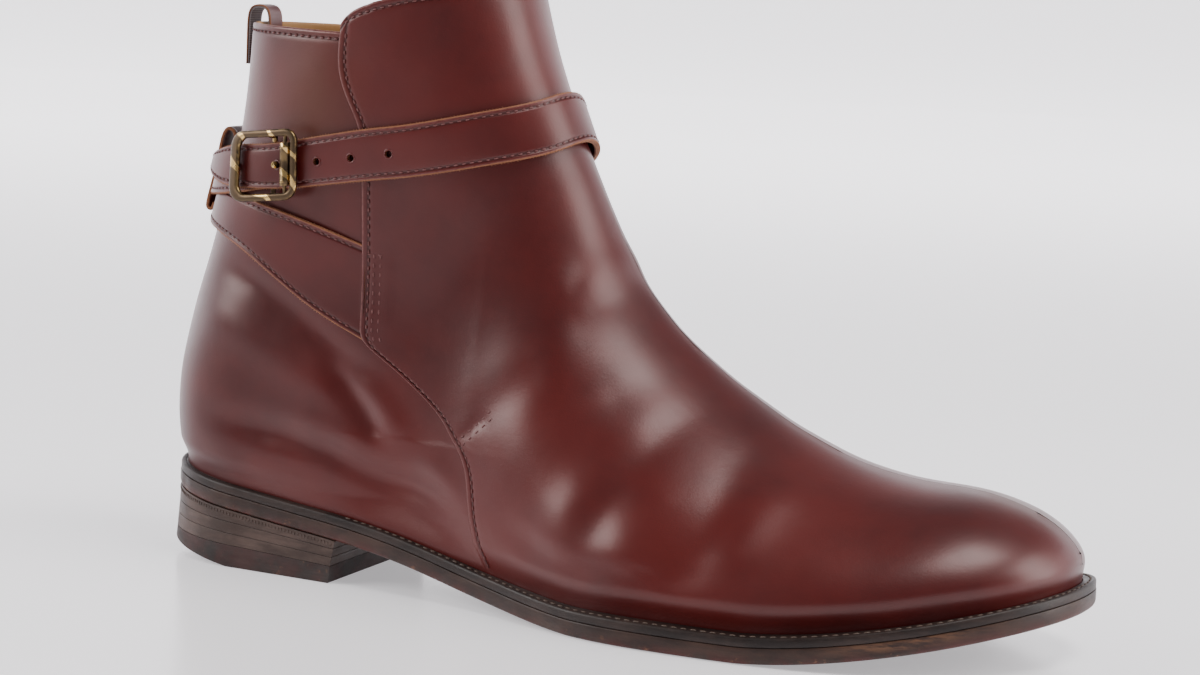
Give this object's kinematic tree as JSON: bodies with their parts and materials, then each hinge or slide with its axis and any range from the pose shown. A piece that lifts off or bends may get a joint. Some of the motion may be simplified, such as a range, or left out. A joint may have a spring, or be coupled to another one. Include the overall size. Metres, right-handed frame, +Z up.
{
  "type": "jodhpur boot",
  "caption": "Leather ankle boot with a one-piece vamp, stacked heel and a wrap strap buckled on the outer side, standing empty on its sole.",
  "frame": {"origin": "on the floor under the heel, on its centre line and 36 mm ahead of its back", "axes": "+X to the toe, +Y to the inner (medial) side of this right boot, +Z up"},
  "size_m": [0.3073, 0.1064, 0.189],
  "materials": {
    "upper_leather": "smooth polished oxblood, soft sheen",
    "strap_leather": "smooth polished oxblood, raw tan cut edges",
    "loop_leather": "smooth outside, grey woven lining inside",
    "insole_leather": "matte tan",
    "welt_leather": "waxed dark brown, stitched on top",
    "sole_leather": "waxed dark brown edge, worn reddish rim",
    "heel_leather": "waxed stacked leather",
    "heel_rubber": "matte worn",
    "buckle_brass": "antique, dark in the hollows and bright where rubbed"
  },
  "bodies": {
    "root": {"upper": "upper_leather", "strap": "strap_leather", "buckle_strap": "strap_leather", "back_strip": "upper_leather", "back_loop": "strap_leather", "pull_loop": "loop_leather", "buckle_frame": "buckle_brass", "buckle_roller": "buckle_brass", "buckle_prong": "buckle_brass", "insole": "insole_leather", "welt": "welt_leather", "outsole": "sole_leather", "heel_base_lift": "heel_leather", "heel_lift_1": "heel_leather", "heel_lift_2": "heel_leather", "heel_top_piece": "heel_rubber"}
  },
  "joints": []
}
